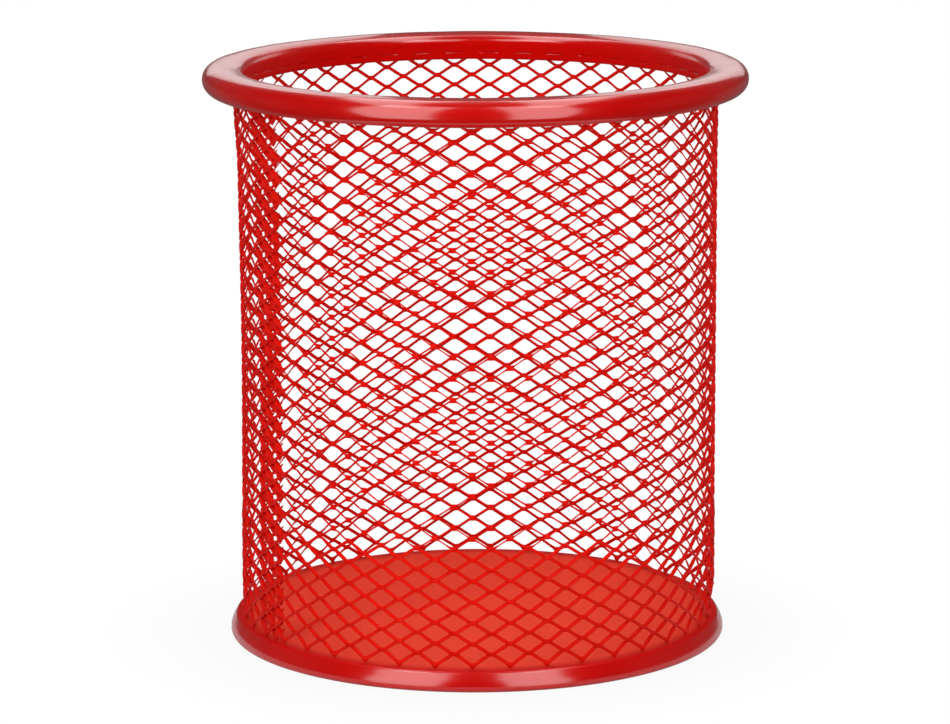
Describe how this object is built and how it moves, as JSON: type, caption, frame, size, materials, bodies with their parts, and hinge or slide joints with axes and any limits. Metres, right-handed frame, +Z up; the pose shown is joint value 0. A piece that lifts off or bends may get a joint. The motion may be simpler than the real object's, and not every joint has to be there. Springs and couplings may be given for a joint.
{
  "type": "mesh pencil cup",
  "caption": "Round open pencil cup: a tube of expanded steel mesh between a pressed steel base pan and a rolled hollow rim, painted glossy red.",
  "frame": {"origin": "on the table, at the middle of the foot", "axes": "+Z up along the axis of the cup, towards the mouth; -Y is the side that faces the picture's viewer"},
  "size_m": [0.09, 0.09, 0.0957],
  "materials": {
    "pan_paint": "glossy red enamel on pressed sheet steel",
    "mesh_paint": "glossy red enamel on expanded steel mesh, rounded off in the corners of the openings",
    "rim_paint": "glossy red enamel on rolled sheet steel"
  },
  "bodies": {
    "root": {"base_pan": "pan_paint", "mesh_wall": "mesh_paint", "top_rim": "rim_paint"}
  },
  "joints": []
}
